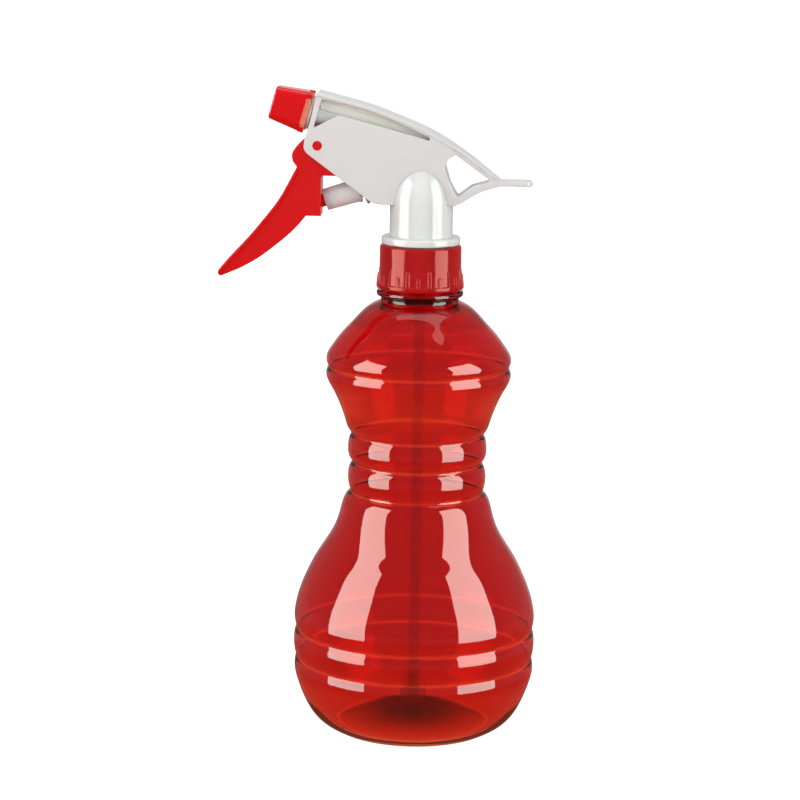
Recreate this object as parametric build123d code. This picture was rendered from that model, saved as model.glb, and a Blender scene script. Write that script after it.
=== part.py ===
from build123d import *
import math
import os

# A hand mister: a clear gourd-shaped bottle with a trigger sprayer screwed on its neck.
# Millimetres. Z is up and is the bottle's axis, the origin is on the table under the bottle,
# and the nozzle points to -X. The trigger turns about Y.

# ---------------------------------------------------------------- driving dimensions
wall = 0.75                 # bottle wall
floor_wall = 1.2            # bottle floor
contact_in_r = 28.0         # the flat ring that the bottle stands on
contact_out_r = 30.7
neck_bore_r = 10.6          # inside of the neck
neck_wall_r = 12.5          # neck under its thread
thread_crest_r = 13.65      # 28 mm neck thread
neck_bottom_z = 167.2       # where the shoulder meets the neck
ring_z = 169.2              # underside of the 33 mm support ring
ring_r = 16.5
ring_top_z = 171.2
neck_top_z = 184.9
thread_pitch = 4.2
turning_gap = 0.15          # running clearance of what turns on the neck

gasket_top_z = 186.0
holder_top_z = 187.2        # top of the holder's flange
closure_bottom_z = 172.2
closure_top_z = 188.6
closure_inner_r = 14.25
closure_plate_z = holder_top_z + turning_gap
flange_z = 189.05           # white flange on the stem
flange_top_z = 191.8
flange_r = 14.95
stem_r = 12.0
skirt_r = 11.6              # part of the stem inside the closure
dome_z = 204.2              # where the dome on top of the stem begins
dome_tall = 17.3
dome_side_r = 20.0           # radius of the dome's side, seen from the side

rib_count = 24
rib_width = 1.5
rib_bottom_z = 173.9
long_rib_top_z = 180.2
short_rib_top_z = 177.8

pump_tilt = 17.6            # degrees, the piston's axis rises towards +X
piston_face = (-36.3, 204.8)        # x and z of the middle of the piston's front face
rim_s = 13.4                # distances along the piston's axis from its front face
mouth_s = 25.1              # where the pump's bore begins
bore_end_s = 41.6
shank_end_s = 31.1
vent_seal_s = 25.8
piston_seal_s = 29.4
seal_t = 1.4
bore_r = 3.8
shank_r = 3.1
spring_wire_r = 0.4         # return spring
spring_r = 5.0
spring_cone = 2.0           # degrees that it opens out towards the pump
spring_droop = 5.0          # degrees that it hangs below the piston's axis
spring_drop = 0.6            # how far its start sits below the piston's axis
spring_gap = 0.85           # from its ends to the rim and to the mouth
spring_turns = 4.5

nozzle_tilt = 15.2          # degrees, the nozzle's axis rises towards -X
nozzle_root = (-42.8, 237.75)       # x and z of the axis at the back of the nozzle cap
cap_back_side = 15.7        # side of the square cap at its back
cap_front_side = 12.2
cap_back_t = 0.05           # distances along the nozzle's axis from nozzle_root
cap_front_t = 14.1
cap_notch_width = 11.4      # a notch in the back of each of the cap's four sides
cap_notch_deep = 1.8
cap_notch_in = 3.0
barrel_r = 3.5
barrel_bore_r = 2.3
barrel_passage_r = 1.5
valve_seat_t = -24.0        # step that the discharge ball rests on
spigot_tail_t = -12.0
outlet_x = 2.9              # the riser and the outlet are beside the stem's axis
liquid_bore_r = 1.3         # drilled ways for the liquid
discharge_ball_r = 1.9
inlet_ball_r = 2.4
inlet_ball_z = 196.68
holder_tower_r = 4.45       # the holder's inner tower, round the inlet ball
holder_tower_z = 198.6
holder_ring_r = 10.35       # the holder's outer ring snaps into the stem

plate_y = 7.3               # outer face of the shroud's side plates
plate_t = 1.35
strip_t = 1.6               # the shroud's top strip
strip_y = 7.7
web_y = 3.0                 # half width of the rib under the strip, over the barrel
pivot = (-39.2, 225.8)      # x and z of the trigger's pivot
pin_r = 1.8
pin_gap = 0.05
trigger_y = 5.6             # half width of the trigger between the plates
trigger_wall = 1.5

tube_r = 2.3                # dip tube
tube_bore_r = 1.6
tube_foot_z = 10.5
strainer_r = 5.0

os.makedirs("parts", exist_ok=True)


# ---------------------------------------------------------------- helpers
def lathe(points):
    """A solid turned about Z from straight lines through (radius, height) points."""
    face = make_face(Plane.XZ * Polyline(*points, close=True))
    return revolve(face, Axis.Z)


def lathe_edges(edges):
    """A solid turned about Z from a closed run of edges."""
    return revolve(make_face(edges), Axis.Z)


def dome(grow, foot_z):
    """The pointed dome on top of the stem and the stem down to foot_z, larger all round by grow."""
    r = stem_r + grow
    foot = foot_z - dome_z
    wide = dome_side_r - stem_r
    short = dome_side_r - dome_tall
    # the side's arc and the top's arc meet smoothly
    top_centre = (wide * wide - short * short) / (2 * short)
    turn = math.degrees(math.atan2(top_centre, wide))
    side = CenterArc((-wide, 0), dome_side_r + grow, 0, turn)
    top = CenterArc((0, top_centre), dome_tall + grow - top_centre, turn, 90 - turn)
    edges = [Line((0, foot), (r, foot)), Line((r, foot), (r, 0)), side, top, Line(top @ 1, (0, foot))]
    return Pos(0, 0, dome_z) * lathe_edges([Plane.XZ * edge for edge in edges])


def plate(points, half_width):
    """A flat solid with the given side outline, as thick each way along Y as half_width."""
    face = make_face(Plane.XZ * Polyline(*points, close=True))
    return extrude(face, amount=half_width, both=True)


def curved_plate(stretches, half_width):
    """The same from stretches of points; each is a smooth curve, and straight lines join them."""
    edges = []
    for i, stretch in enumerate(stretches):
        if len(stretch) > 2:
            edges.append(Plane.XZ * Spline(*stretch))
        elif len(stretch) == 2:
            edges.append(Plane.XZ * Line(*stretch))
        after = stretches[(i + 1) % len(stretches)]
        if after[0] != stretch[-1]:
            edges.append(Plane.XZ * Line(stretch[-1], after[0]))
    return extrude(make_face(edges), amount=half_width, both=True)


def rod(x, y, z0, z1, r):
    """A vertical cylinder from z0 to z1."""
    return Pos(x, y, (z0 + z1) / 2) * Cylinder(r, z1 - z0)


def upright_cone(z0, z1, r0, r1):
    """A cone frustum on the bottle's axis from z0 to z1."""
    return Pos(0, 0, (z0 + z1) / 2) * Cone(r0, r1, z1 - z0)


def along_y(x, z, r, half_width):
    """A cylinder across the head, with its axis along Y."""
    return Pos(x, 0, z) * Rot(90, 0, 0) * Cylinder(r, 2 * half_width)


def pump_place(s):
    """The frame at distance s along the piston's axis, with local Z pointing to the bottle."""
    a = math.radians(pump_tilt)
    origin = (piston_face[0] + s * math.cos(a), 0, piston_face[1] + s * math.sin(a))
    return Plane(origin=origin, x_dir=(0, 1, 0), z_dir=(math.cos(a), 0, math.sin(a)))


def nozzle_place(t):
    """The frame at distance t along the nozzle's axis, with local Z pointing out of the nozzle."""
    a = math.radians(nozzle_tilt)
    origin = (nozzle_root[0] - t * math.cos(a), 0, nozzle_root[1] + t * math.sin(a))
    return Plane(origin=origin, x_dir=(0, 1, 0), z_dir=(-math.cos(a), 0, math.sin(a)))


def run(place, a, b, r):
    """A cylinder from distance a to distance b along an axis."""
    return place(a) * extrude(Circle(r), amount=b - a)


def cone_run(place, a, b, r_a, r_b):
    """A cone frustum from distance a to distance b along an axis."""
    return place((a + b) / 2) * Cone(r_a, r_b, b - a)


def thread(root_r, crest_r, z0, turns, pitch, base=1.9, crest=0.9):
    """A helical ridge from root_r to crest_r, right-handed about Z; crest_r may be the smaller."""
    path = Helix(pitch=pitch, height=turns * pitch, radius=root_r)
    outline = Polyline((0, -base / 2), (crest_r - root_r, -crest / 2),
                       (crest_r - root_r, crest / 2), (0, base / 2), close=True)
    across = Plane(origin=path @ 0, x_dir=(1, 0, 0), z_dir=path % 0)
    ridge = sweep(across * make_face(outline), path=path, is_frenet=True)
    return Pos(0, 0, z0) * ridge


def save(shape, name):
    """Write one sub-part to its own file."""
    export_step(shape, f"parts/{name}.step")


# ---------------------------------------------------------------- bottle
def bottle_edges(inset, lift):
    """The bottle's side from its centre to the shoulder; inset is the wall, lift the floor.

    Each stretch is a smooth curve between two creases of the moulded shape.
    """
    push_up = [(0, 7.0), (12, 6.2), (21.5, 3.0), (contact_in_r, 0)]
    foot = [(contact_in_r, 0), (contact_out_r, 0)]
    heel = [(contact_out_r, 0), (37.1, 3.9), (42.15, 11.0), (45.2, 18.8), (46.3, 24.2),
            (45.75, 28.2)]
    lower_ring = [(45.75, 28.2), (46.4, 30.8), (46.6, 34.2), (45.65, 39.3)]
    body = [(45.65, 39.3), (46.4, 43.4), (46.1, 47.5), (44.6, 53.5), (41.8, 60.5), (38.2, 67.6),
            (33.6, 74.8), (30.4, 81.4), (28.7, 87.6), (27.1, 91.6), (25.4, 93.3)]
    waist_low = [(25.4, 93.3), (26.25, 95.6), (26.4, 99), (26.2, 102.2), (24.7, 104.7)]
    waist_high = [(24.7, 104.7), (26.3, 107.1), (26.55, 110.2), (26.35, 113.4), (25.2, 115.9)]
    bulb = [(25.2, 115.9), (26.7, 118.0), (27.9, 121.4), (30.0, 127.2), (32.7, 133), (34.9, 137.2),
            (35.3, 139.2), (34.4, 141.9)]
    shoulder = [(34.4, 141.9), (35.1, 143.4), (35.2, 145), (34.3, 147.6), (30.3, 153.4),
                (24.9, 159.4), (18.9, 165.2), (14.8, neck_bottom_z)]
    edges = []
    for stretch in (push_up, foot, heel, lower_ring, body, waist_low, waist_high, bulb, shoulder):
        moved = []
        for r, z in stretch:
            floor_part = lift if z < 10 else lift * max(0, (28 - z) / 28)
            moved.append((max(r - inset, 0), z + floor_part))
        edge = Line(*moved) if stretch is foot else Spline(*moved)
        edges.append(Plane.XZ * edge)
    return edges


def bottle_side(inset, lift, neck_points):
    """A closed outline: the bottle's side, then straight lines up its neck, then its axis."""
    edges = bottle_edges(inset, lift)
    start = edges[0] @ 0
    end = edges[-1] @ 1
    neck = Plane.XZ * Polyline((end.X, end.Z), *neck_points)
    axis_line = Line(neck @ 1, start)
    return edges + [neck, axis_line]


def bottle():
    outside = lathe_edges(bottle_side(0, 0, [
        (14.8, ring_z), (ring_r - 0.5, ring_z), (ring_r, ring_z + 0.6), (ring_r, ring_top_z - 0.4),
        (ring_r - 0.4, ring_top_z), (neck_wall_r, ring_top_z), (neck_wall_r, neck_top_z - 0.4),
        (neck_wall_r - 0.4, neck_top_z), (0, neck_top_z)]))
    inside = lathe_edges(bottle_side(wall, floor_wall, [
        (11.6, neck_bottom_z + 0.6), (neck_bore_r, ring_z + 0.5), (neck_bore_r, neck_top_z + 5),
        (0, neck_top_z + 5)]))
    ridge = thread(neck_wall_r - 0.3, thread_crest_r, 176.2, 1.25, thread_pitch)
    return outside + ridge - inside


def neck_gasket():
    return lathe([(8.6, neck_top_z + 0.05), (13.0, neck_top_z + 0.05), (13.0, gasket_top_z),
                  (8.6, gasket_top_z)])


def closure():
    shell = lathe([
        (skirt_r + 0.35, closure_plate_z), (skirt_r + 0.35, closure_top_z), (14.7, closure_top_z),
        (15.2, closure_top_z - 0.25), (15.5, closure_top_z - 0.9), (15.55, 180.4), (15.95, 174.2),
        (16.5, 173.95), (16.65, 173.6), (16.65, 172.6), (16.3, closure_bottom_z),
        (14.6, closure_bottom_z), (closure_inner_r, closure_bottom_z + 0.6),
        (closure_inner_r, closure_plate_z)])
    envelope = lathe([(0, 173), (16.65, 173), (16.6, rib_bottom_z), (15.8, 181), (0, 181)])
    ribs = []
    for i in range(rib_count):
        top = long_rib_top_z if i % 2 else short_rib_top_z
        z_mid = (rib_bottom_z + top - rib_width / 2) / 2
        tall = top - rib_width / 2 - rib_bottom_z
        shape = Pos(0, z_mid) * Rectangle(rib_width, tall)
        shape += Pos(0, top - rib_width / 2) * Circle(rib_width / 2)
        bar = extrude(Plane(origin=(15, 0, 0), x_dir=(0, 1, 0), z_dir=(1, 0, 0)) * shape, amount=2)
        ribs.append(Rot(0, 0, 360 / rib_count * i) * bar)
    grip = envelope & (Part() + ribs)
    ridge = thread(closure_inner_r + 0.2, thread_crest_r + turning_gap + 0.05, 175.6, 1.5,
                   thread_pitch, base=1.5, crest=0.7)
    return shell + grip + ridge


# ---------------------------------------------------------------- pump
def pump_body():
    stem = lathe([(0, holder_top_z + 0.05), (skirt_r, holder_top_z + 0.05), (skirt_r, flange_z),
                  (flange_r - 0.3, flange_z), (flange_r, flange_z + 0.3),
                  (flange_r, flange_top_z - 0.4), (flange_r - 0.4, flange_top_z),
                  (stem_r, flange_top_z), (0, flange_top_z)])
    body = stem + dome(0, flange_top_z)
    body += run(pump_place, mouth_s, bore_end_s + 1.4, 5.2)
    body += run(pump_place, mouth_s, mouth_s + 1.3, 5.75)
    a = math.radians(nozzle_tilt)
    t_back = (nozzle_root[0] - outlet_x) / math.cos(a)
    outlet_z = nozzle_root[1] + t_back * math.sin(a)
    body += rod(outlet_x, 0, 216, outlet_z, barrel_r)
    body += Pos(outlet_x, 0, outlet_z) * Sphere(barrel_r)
    body += run(nozzle_place, t_back, -1.15, barrel_r)
    # the hollow round the inlet, then the bores that the liquid goes through
    body -= lathe([(5.9, 187), (10.4, 187), (10.4, 200), (9, 201.4), (6.5, 201.4), (5.9, 200.8)])
    body -= rod(0, 0, 187, 200.2, holder_tower_r + 0.05)
    body -= run(pump_place, mouth_s - 1, bore_end_s, bore_r)
    body -= rod(outlet_x, 0, 200, 214, liquid_bore_r)
    body -= rod(outlet_x, 0, 217.5, outlet_z, liquid_bore_r)
    body -= run(nozzle_place, t_back, 0, barrel_passage_r)
    body -= run(nozzle_place, valve_seat_t, 0, barrel_bore_r)
    body -= rod(-8.3, 0, 201, 211, 0.6)
    return body


def tube_holder():
    """Snaps into the stem from below, closes it, and holds the ball's seat and the dip tube."""
    bottom_z = gasket_top_z + 0.05
    body = lathe([(0, bottom_z), (13.3, bottom_z), (13.3, holder_top_z),
                  (holder_ring_r, holder_top_z), (holder_ring_r, 192.5), (holder_ring_r - 0.25, 193),
                  (9.2, 193), (9.2, holder_top_z), (holder_tower_r, holder_top_z),
                  (holder_tower_r, holder_tower_z), (0, holder_tower_z)])
    body += rod(0, 0, 179.5, 187, 4.2)
    body -= rod(0, 0, 179, 192.6, tube_r + 0.02)
    body -= rod(0, 0, 192, 196, liquid_bore_r)
    body -= upright_cone(194.4, 196.4, liquid_bore_r, 2.9)
    body -= rod(0, 0, 196.4, 199, 3.0)
    for angle in (0, 120, 240):
        body -= Rot(0, 0, angle) * rod(7.0, 0, 185, 188.5, 0.8)
    return body


def inlet_ball():
    return Pos(0, 0, inlet_ball_z) * Sphere(inlet_ball_r)


def dip_tube():
    tube = rod(0, 0, tube_foot_z, 192.4, tube_r) - rod(0, 0, tube_foot_z - 1, 193, tube_bore_r)
    return tube


def tube_strainer():
    """A slotted cup pushed on the foot of the dip tube."""
    cup = rod(0, 0, 9.2, 17.2, strainer_r) - rod(0, 0, 10.4, 15.4, strainer_r - 1.0)
    cup += rod(0, 0, 15.4, 21.5, 3.6)
    cup -= rod(0, 0, 15, 22, tube_r + 0.02)
    for angle in range(0, 180, 45):
        cup -= Rot(0, 0, angle) * Pos(0, 0, 12.9) * Box(20, 0.9, 3.6)
    return cup


def piston():
    head = cone_run(pump_place, 0, rim_s - 0.9, 4.1, 4.4)
    head += run(pump_place, rim_s - 0.9, rim_s, 4.85)
    body = head + run(pump_place, rim_s, shank_end_s, shank_r)
    body -= run(pump_place, -1, 1.4, 3.3)
    for s in (vent_seal_s, piston_seal_s):
        body -= run(pump_place, s, s + seal_t, shank_r + 1) - run(pump_place, s, s + seal_t, 2.4)
    return body


def ring_seal(s):
    """A seal in a groove of the piston's shank, with a rounded edge on the bore."""
    ring = run(pump_place, s + 0.02, s + seal_t - 0.02, 3.76) - run(pump_place, s, s + seal_t, 2.42)
    outer = [e for e in ring.edges().filter_by(GeomType.CIRCLE) if e.radius > 3.5]
    return fillet(outer, 0.5)


def return_spring():
    """Opens out towards the pump, where it sits on the mouth of the bore."""
    height = mouth_s - rim_s - 2 * spring_gap
    path = Helix(pitch=height / spring_turns, height=height, radius=spring_r,
                 cone_angle=spring_cone)
    across = Plane(origin=path @ 0, z_dir=path % 0)
    coil = sweep(across * Circle(spring_wire_r), path=path, is_frenet=True)
    return pump_place(rim_s + spring_gap) * Pos(0, -spring_drop, 0) * Rot(spring_droop, 0, 0) * coil


# ---------------------------------------------------------------- nozzle
def nozzle_spigot():
    """Pressed into the barrel's mouth; the cap screws on its nose."""
    body = run(nozzle_place, spigot_tail_t, -1.1, barrel_bore_r - 0.02)
    body += run(nozzle_place, -1.1, -0.1, 6.4)
    body += run(nozzle_place, -0.1, 8.0, 4.3)
    ridge = thread(4.1, 4.9, 0, 2.5, 1.8, base=1.1, crest=0.5)
    body += nozzle_place(3.0) * ridge
    body -= run(nozzle_place, -13, 9, 1.2)
    body -= run(nozzle_place, 4.6, 9, 2.6)
    body -= run(nozzle_place, 0.4, 1.6, 6) - run(nozzle_place, 0.4, 1.6, 3.6)
    return body


def swirl_core():
    """The insert that makes the liquid spin, with two slots along its side."""
    core = run(nozzle_place, 4.7, 9.6, 2.55)
    core += run(nozzle_place, 8.1, 9.4, 3.6)
    for side in (-1, 1):
        core -= nozzle_place(7.0) * Pos(side * 2.5, 0, 0) * Box(1.2, 0.9, 8)
    core -= run(nozzle_place, 9.0, 10, 1.1)
    return core


def nozzle_seal():
    ring = run(nozzle_place, 0.42, 1.58, 4.95) - run(nozzle_place, 0, 2, 3.62)
    outer = [e for e in ring.edges().filter_by(GeomType.CIRCLE) if e.radius > 4.5]
    return fillet(outer, 0.45)


def nozzle_cap():
    back = nozzle_place(cap_back_t) * RectangleRounded(cap_back_side, cap_back_side, 3.2)
    front = nozzle_place(cap_front_t) * RectangleRounded(cap_front_side, cap_front_side, 2.6)
    cap = loft([back, front])
    face = cap.faces().sort_by(Axis((0, 0, 0), nozzle_place(0).z_dir))[-1]
    cap = fillet(face.edges(), 0.7)
    for turn in range(4):
        cap -= nozzle_place(cap_back_t) * Rot(0, 0, 90 * turn) * Pos(8.5, 0, 0) * Box(
            cap_notch_in, cap_notch_width, 2 * cap_notch_deep)
    cap -= run(nozzle_place, -2, 8.3, 5.05)
    cap -= run(nozzle_place, 8.2, 10.2, 3.8)
    cap -= run(nozzle_place, -2, 5.0, 7.1) - run(nozzle_place, -2, 5.0, 6.1)
    cap -= run(nozzle_place, 9, 15, 0.45)
    cap -= cone_run(nozzle_place, cap_front_t - 0.8, cap_front_t + 0.2, 0.45, 1.7)
    return cap


def discharge_ball():
    return nozzle_place(valve_seat_t + 1.2) * Sphere(discharge_ball_r)


def discharge_spring():
    height = spigot_tail_t - valve_seat_t - 2.95
    path = Helix(pitch=height / 6, height=height, radius=1.45)
    across = Plane(origin=path @ 0, z_dir=path % 0)
    coil = sweep(across * Circle(0.2), path=path, is_frenet=True)
    return nozzle_place(valve_seat_t + 2.7) * coil


# ---------------------------------------------------------------- shroud
top_line = [(-39.2, 245.7), (-28.7, 243.1), (-18.3, 240.2), (-8.7, 236.7), (-1.9, 234.0),
            (4.8, 230.9), (11.6, 226.9), (18.4, 222.4), (25.3, 217.1), (29.6, 213.6)]
tail_end_x = 41.9
tail_top_z = 213.5
tail_bottom_z = 211.7
hole_line = [(12.6, 223.4), (9.9, 221.7), (8.7, 218.5), (10.8, 212.0), (13.6, 207.2), (18.8, 211.2),
             (26.1, 213.5)]


def shroud_outline():
    """The whole side view of the shroud, without its holes."""
    tail = [(tail_end_x - 0.8, tail_top_z), (tail_end_x, 212.6), (tail_end_x - 0.8, tail_bottom_z)]
    under_tail = [(29.5, tail_bottom_z), (25.5, 210.5), (20.5, 208.4), (16.2, 205.8), (12.9, 204.1)]
    lower_front = [(-15.2, 204.1), (-17.8, 204.6), (-20.5, 206.2)]
    ear = [(-42.9, 222.6), (-44.1, 224.2), (-44.3, 225.6), (-44.1, 227.4), (-42.7, 231.9)]
    return [[(-39.7, 244.9)], top_line, tail, under_tail, lower_front, ear]


def inside_outline():
    """The space between the side plates."""
    roof = [(x, z - strip_t) for x, z in top_line[:6]]
    back = [(7.4, 227.6), (7.1, 221.7), (6.9, 218.4), (8.9, 211.4), (11.6, 204.1), (11.6, 200)]
    front = [(-50, 200), (-50, 229), (-41.0, 231.9), (-38.0, 244.1)]
    return [roof[1:]] + [[point] for point in back + front]


def plan_outline(front_half, tail_half):
    """The shroud from above: straight at the head, narrowing to the tail."""
    return [(-50, -front_half), (9, -front_half), (24, -tail_half), (tail_end_x - 2.2, -tail_half),
            (tail_end_x - 0.6, 1.4 - tail_half), (tail_end_x, 3.4 - tail_half),
            (tail_end_x, tail_half - 3.4), (tail_end_x - 0.6, tail_half - 1.4),
            (tail_end_x - 2.2, tail_half), (24, tail_half), (9, front_half), (-50, front_half)]


def column(points):
    """A tall upright solid over the given plan."""
    return Pos(0, 0, 195) * extrude(make_face(Polyline(*points, close=True)), amount=60)


def shroud():
    hole = plate(hole_line, 12)
    body = curved_plate(shroud_outline(), plate_y)
    body -= curved_plate(inside_outline(), plate_y - plate_t)
    window_top = [(2.9, 229.7), (-2.1, 231.9), (-7.5, 234.3), (-17.6, 238.2), (-27.6, 241.1),
                  (-37.8, 243.2)]
    window_bottom = [(-40.7, 232.4), (-31.2, 237.4), (-2.8, 230.1), (2.9, 228.5)]
    body -= curved_plate([window_top] + [[point] for point in window_bottom], 12)
    web = [(-38.5, 243.5), (-28, 241.6), (-18, 238.7), (-8, 234.9), (3, 229.9), (3, 226.2),
           (-38.5, 239.3)]
    body += plate(web, web_y) - run(nozzle_place, -50, -2, barrel_r + 0.05)
    body &= column(plan_outline(plate_y, 4.3))
    strip_bottom = [(x, z - 1.4) for x, z in reversed(top_line[:-1])]
    strip = curved_plate([[(-39.7, 244.9)], top_line, strip_bottom, [(-39.5, 243.9)]], strip_y)
    body += strip & column(plan_outline(strip_y, 4.7))
    body -= hole
    body -= dome(0.1, 195)
    body -= run(nozzle_place, -8, 0, barrel_r + 0.05)
    body -= along_y(pivot[0], pivot[1], pin_r + pin_gap, 12)
    return body


# ---------------------------------------------------------------- trigger
lever_front = [(-46.9, 217.5), (-49.9, 211.7), (-53.5, 205.4), (-58.3, 198.8), (-63.5, 192.3),
               (-68.8, 186.3), (-74.1, 180.5), (-76.3, 177.9)]
lever_tip = [(-76.6, 176.6), (-76.0, 175.7), (-74.4, 176.0)]
lever_back = [(-68.8, 178.4), (-61.9, 182.3), (-55.6, 187.0), (-49.7, 192.0), (-45.5, 196.4),
              (-43.3, 199.1)]
block_x = -37.7
block_bottom_z = 199.1
step_x = -40.3


def trigger():
    nose = [(-41.4, 230.0), (-44.6, 227.6), (-47.9, 224.2), (-48.8, 222.2), (-48.5, 219.7)]
    heel = [(block_x, block_bottom_z), (block_x, 213.8), (-37.0, 214.4), (-32.3, 214.4),
            (-31.6, 216.2), (-35.2, 223.6), (-35.6, 227.6), (-38.0, 230.0)]
    body = curved_plate([nose, lever_front, lever_tip, lever_back] + [[p] for p in heel], trigger_y)
    # the hollow behind the finger face, open at the back
    hollow_front = [(-45.6, 215.8), (-48.5, 210.6), (-52.2, 204.2), (-57.0, 197.8), (-62.2, 191.4),
                    (-67.4, 185.4), (-71.8, 180.3)]
    hollow_back = [(-68.0, 176.0), (-50.0, 185.0), (-42.0, 195.0), (-42.0, 213.0)]
    body -= curved_plate([hollow_front] + [[p] for p in hollow_back], trigger_y - trigger_wall)
    body -= plate([(step_x, 213.9), (step_x, 198), (-36, 198), (-36, 213.9)], 12) - plate(
        [(step_x - 1, 215), (step_x - 1, 197), (-35, 197), (-35, 215)], trigger_y - 0.6)
    rim_back = [(x + 1.1, z - 0.7) for x, z in reversed(lever_front)]
    body += curved_plate([lever_front, [lever_tip[0]], rim_back], trigger_y + 0.7)
    body += along_y(pivot[0], pivot[1], pin_r, plate_y)
    # a rounded nose pushes the piston
    body += run(pump_place, -2.4, -0.2, 2.4)
    body += pump_place(-0.2) * Sphere(1.2)
    return body


if __name__ == "__main__":
    pieces = [bottle, neck_gasket, closure, pump_body, tube_holder, inlet_ball, dip_tube,
              tube_strainer, piston, return_spring, nozzle_spigot, swirl_core, nozzle_seal,
              nozzle_cap, discharge_ball, discharge_spring, shroud, trigger]
    for piece in pieces:
        save(piece(), piece.__name__)
    save(ring_seal(vent_seal_s), "vent_seal")
    save(ring_seal(piston_seal_s), "piston_seal")
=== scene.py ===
import math

import bmesh
import bpy
from mathutils import Matrix, Vector


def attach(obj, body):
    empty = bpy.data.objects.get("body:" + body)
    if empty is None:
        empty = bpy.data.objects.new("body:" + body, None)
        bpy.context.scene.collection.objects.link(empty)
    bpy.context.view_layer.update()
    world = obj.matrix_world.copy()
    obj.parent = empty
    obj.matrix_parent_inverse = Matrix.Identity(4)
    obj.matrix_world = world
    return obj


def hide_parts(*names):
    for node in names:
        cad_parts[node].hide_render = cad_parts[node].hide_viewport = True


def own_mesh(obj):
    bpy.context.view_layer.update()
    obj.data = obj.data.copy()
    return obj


# The looks of the hand mister: a clear red bottle, a red closure, trigger and nozzle, and a
# white head. The frame is the CAD's: metres, Z up, the nozzle points to -X.

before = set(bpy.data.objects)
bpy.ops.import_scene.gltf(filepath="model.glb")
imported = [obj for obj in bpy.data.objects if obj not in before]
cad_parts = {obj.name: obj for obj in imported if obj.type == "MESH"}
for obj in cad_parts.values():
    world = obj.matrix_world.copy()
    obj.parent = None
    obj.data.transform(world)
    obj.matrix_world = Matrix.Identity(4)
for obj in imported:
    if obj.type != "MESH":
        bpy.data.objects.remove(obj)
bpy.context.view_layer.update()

MM = 0.001

# ---------------------------------------------------------------- driving dimensions, millimetres
WALL = 0.75                 # the bottle's wall
NECK_BORE_R = 10.6
NECK_WALL_R = 12.5
THREAD_CREST_R = 13.65
THREAD_PITCH = 4.2
THREAD_START_Z = 176.2
THREAD_TURNS = 1.25
NECK_BOTTOM_Z = 167.2
NECK_TOP_Z = 184.9
CREASE_Z = (28.2, 39.3, 93.3, 104.7, 115.9, 141.9)
PUMP_TILT = math.radians(17.6)
PISTON_FACE = (-36.3, 204.8)
NOZZLE_TILT = math.radians(15.2)
NOZZLE_ROOT = (-42.8, 237.75)

# the camera stands where the photographer's did
CAMERA_AZIMUTH = math.radians(2.5)
CAMERA_PITCH = math.radians(11.0)
CAMERA_ROLL = math.radians(0.95)
CAMERA_PLACE = (0.0389, -1.0493, 0.3325)
CAMERA_LENS = 125.8

# the studio
FLOOR_GLOW = 0.95
SIDE_LIGHT = 5.6            # radiance of the two tall softboxes
TOP_LIGHT = 1.0             # radiance of the softbox overhead, mirrored
TOP_FILL = 1.3              # the light from overhead on dull surfaces
SIDE_FILL = 2.7             # the light of the softboxes on dull surfaces
FRONT_LIGHT = 1.5           # radiance of the big soft light beside the camera, for dull surfaces
BACK_LIGHT = 1.3            # and of the one behind the object
SKY_SEEN = 1.0              # the white surroundings, seen directly
SKY_THROUGH = 0.95          # the backdrop, seen through the clear plastic
SKY_FRONT = 0.15            # the studio before the object, seen that way
SKY_FILL = 0.20             # the light on dull surfaces
SKY_GLOSS = 0.16            # the dim studio, mirrored
SKY_BEHIND = 0.60           # the backdrop, mirrored at the outline
SKY_TABLE = 0.50            # the table, mirrored
TABLE_GLOW = (1.0, 0.20, 0.10)    # its colour there, because the bottle casts red light on it
SIDE_LIGHT_COLOUR = (0.97, 0.96, 0.90)


# ---------------------------------------------------------------- node helpers
class Nodes:
    """A short way to write a material's node tree."""

    def __init__(self, name):
        self.material = bpy.data.materials.new(name)
        self.material.use_nodes = True
        self.tree = self.material.node_tree
        self.shader = self.tree.nodes["Principled BSDF"]
        self.place = self.add("ShaderNodeTexCoord").outputs["Object"]

    def add(self, kind, inputs=None, **settings):
        """A new node with its settings, and its inputs joined or set by name."""
        node = self.tree.nodes.new(kind)
        for key, value in settings.items():
            setattr(node, key, value)
        for key, value in (inputs or {}).items():
            if isinstance(value, bpy.types.NodeSocket):
                self.tree.links.new(value, node.inputs[key])
            else:
                node.inputs[key].default_value = value
        return node

    def join(self, output, key):
        self.tree.links.new(output, self.shader.inputs[key])

    def set(self, **values):
        for key, value in values.items():
            self.shader.inputs[key.replace("_", " ")].default_value = value

    def noise(self, scale, detail=2.0, stretch=(1, 1, 1)):
        """Noise in the frame's metres; scale is its features per metre."""
        mapped = self.add("ShaderNodeMapping", {"Vector": self.place, "Scale": stretch})
        texture = self.add("ShaderNodeTexNoise", {"Vector": mapped.outputs[0], "Scale": scale,
                                                  "Detail": detail})
        return texture.outputs["Fac"]

    def ramp(self, factor, stops):
        """Colours along a factor; stops are (position, colour)."""
        node = self.add("ShaderNodeValToRGB", {"Fac": factor})
        elements = node.color_ramp.elements
        while len(elements) < len(stops):
            elements.new(0.5)
        for element, (position, colour) in zip(elements, stops):
            element.position = position
            element.color = (*colour, 1)
        return node.outputs["Color"]

    def bump(self, height, distance, strength=1.0):
        node = self.add("ShaderNodeBump", {"Height": height, "Distance": distance,
                                           "Strength": strength})
        self.join(node.outputs["Normal"], "Normal")


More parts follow.
